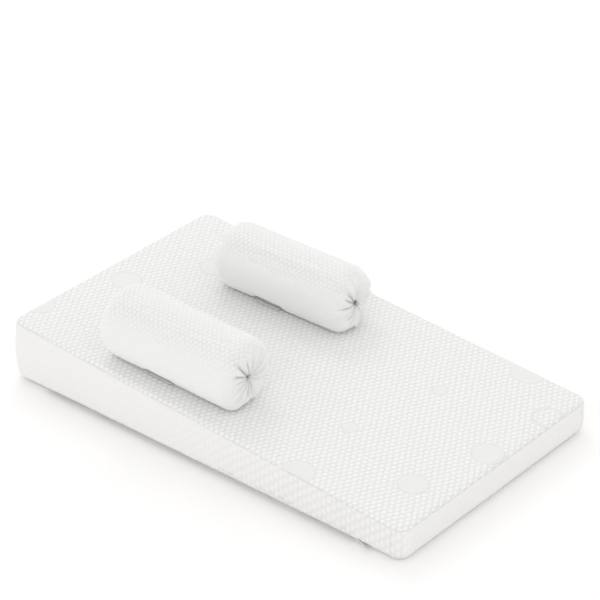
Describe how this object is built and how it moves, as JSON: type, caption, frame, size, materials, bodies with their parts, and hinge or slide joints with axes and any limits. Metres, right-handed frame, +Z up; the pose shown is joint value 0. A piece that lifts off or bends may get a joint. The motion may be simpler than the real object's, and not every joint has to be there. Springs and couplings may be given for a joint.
{
  "type": "memory foam mattress",
  "caption": "Small infant support wedge mattress of foam in a white bubble-knit zip cover, sloping from a thick head end to a thin foot end, with removable side bolsters on top.",
  "frame": {"origin": "middle of the flat underside, below the middle of the bounding box", "axes": "+X from the thick head end to the thin foot end, +Y to the back long side, +Z up"},
  "size_m": [0.65, 0.384, 0.1735],
  "materials": {
    "knit_white": "matte bubble-knit with flat satin rings",
    "base_foam": "matte open-cell foam",
    "memory_foam": "matte open-cell slow-recovery foam",
    "bolster_foam": "matte open-cell foam",
    "zip_tape": "matte woven tape",
    "zip_coil": "satin nylon",
    "zip_metal": "satin white enamel",
    "gather_cord": "matte elastic cord",
    "hook_strip": "matte hook fastener"
  },
  "bodies": {
    "mattress": {"base_foam": "base_foam", "memory_foam": "memory_foam", "cover_top_panel": "knit_white", "cover_bottom_panel": "knit_white", "cover_border_wrap": "knit_white", "cover_border_back": "knit_white", "zip_tape_upper": "zip_tape", "zip_tape_lower": "zip_tape", "zip_coil_upper": "zip_coil", "zip_coil_lower": "zip_coil", "zip_stop_start": "zip_metal", "zip_stop_end": "zip_metal"},
    "zip_slider": {"zip_slider": "zip_metal"},
    "zip_pull_tab": {"zip_pull_tab": "zip_metal"},
    "front_hook_strip": {"front_hook_strip": "hook_strip"},
    "front_bolster": {"front_bolster_foam": "bolster_foam", "front_bolster_sleeve": "knit_white", "front_bolster_ring_head": "gather_cord", "front_bolster_ring_foot": "gather_cord"},
    "back_hook_strip": {"back_hook_strip": "hook_strip"},
    "back_bolster": {"back_bolster_foam": "bolster_foam", "back_bolster_sleeve": "knit_white", "back_bolster_ring_head": "gather_cord", "back_bolster_ring_foot": "gather_cord"}
  },
  "joints": [
    {"name": "zip_slide", "type": "slide", "parent": "mattress", "child": "zip_slider", "axis": [-1, 0, 0], "range_m": [0, 0.49]},
    {"name": "pull_tab_swing", "type": "hinge", "parent": "zip_slider", "child": "zip_pull_tab", "pos_m": [0.254, -0.18748, 0.00453], "axis": [0, 0.7071, -0.7071], "range_deg": [-12, 150]},
    {"name": "front_strip_spacing", "type": "slide", "parent": "mattress", "child": "front_hook_strip", "axis": [0, 1, 0], "range_m": [-0.006, 0.04]},
    {"name": "front_bolster_lift", "type": "slide", "parent": "front_hook_strip", "child": "front_bolster", "axis": [0.063, 0, 0.998], "range_m": [0, 0.18]},
    {"name": "back_strip_spacing", "type": "slide", "parent": "mattress", "child": "back_hook_strip", "axis": [0, 1, 0], "range_m": [-0.04, 0.045]},
    {"name": "back_bolster_lift", "type": "slide", "parent": "back_hook_strip", "child": "back_bolster", "axis": [0.063, 0, 0.998], "range_m": [0, 0.18]}
  ]
}
